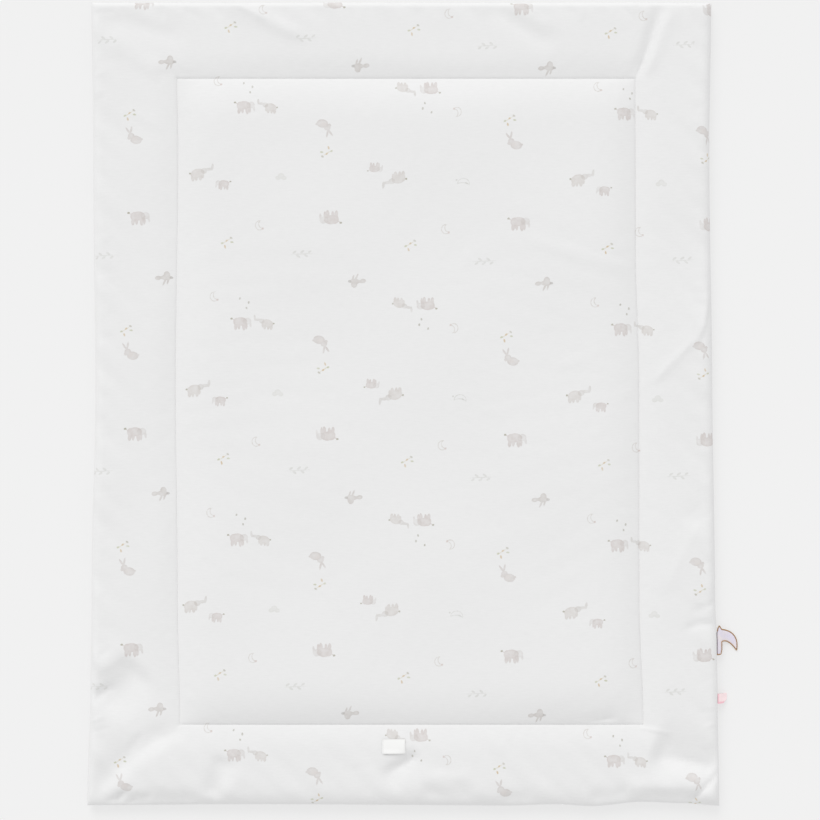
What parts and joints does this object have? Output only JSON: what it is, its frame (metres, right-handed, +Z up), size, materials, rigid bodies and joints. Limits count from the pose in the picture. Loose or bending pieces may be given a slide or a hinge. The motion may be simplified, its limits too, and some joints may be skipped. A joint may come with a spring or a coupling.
{
  "type": "padded play blanket",
  "caption": "Flat padded play blanket: a filled quilt sewn through on a rectangle, with a puffy border, a bare label, and a cloth tag and a ribbon tab at its side.",
  "frame": {"origin": "on the flat underside, at the middle of the quilt", "axes": "+Z up out of the upper face; +Y along the quilt's long way, away from the end that has the label; +X towards the side that has the tag and the ribbon"},
  "size_m": [0.771, 0.951, 0.0289],
  "materials": {
    "cotton": "plain-woven white cotton with a small scattered print",
    "label_cloth": "woven satin label, bare",
    "tag_cloth": "pale lavender cloth with a satin-stitched edge",
    "ribbon": "pink satin ribbon"
  },
  "bodies": {
    "root": {"quilt": "cotton", "label": "label_cloth", "play_tag": "tag_cloth", "ribbon_tab": "ribbon"}
  },
  "joints": []
}
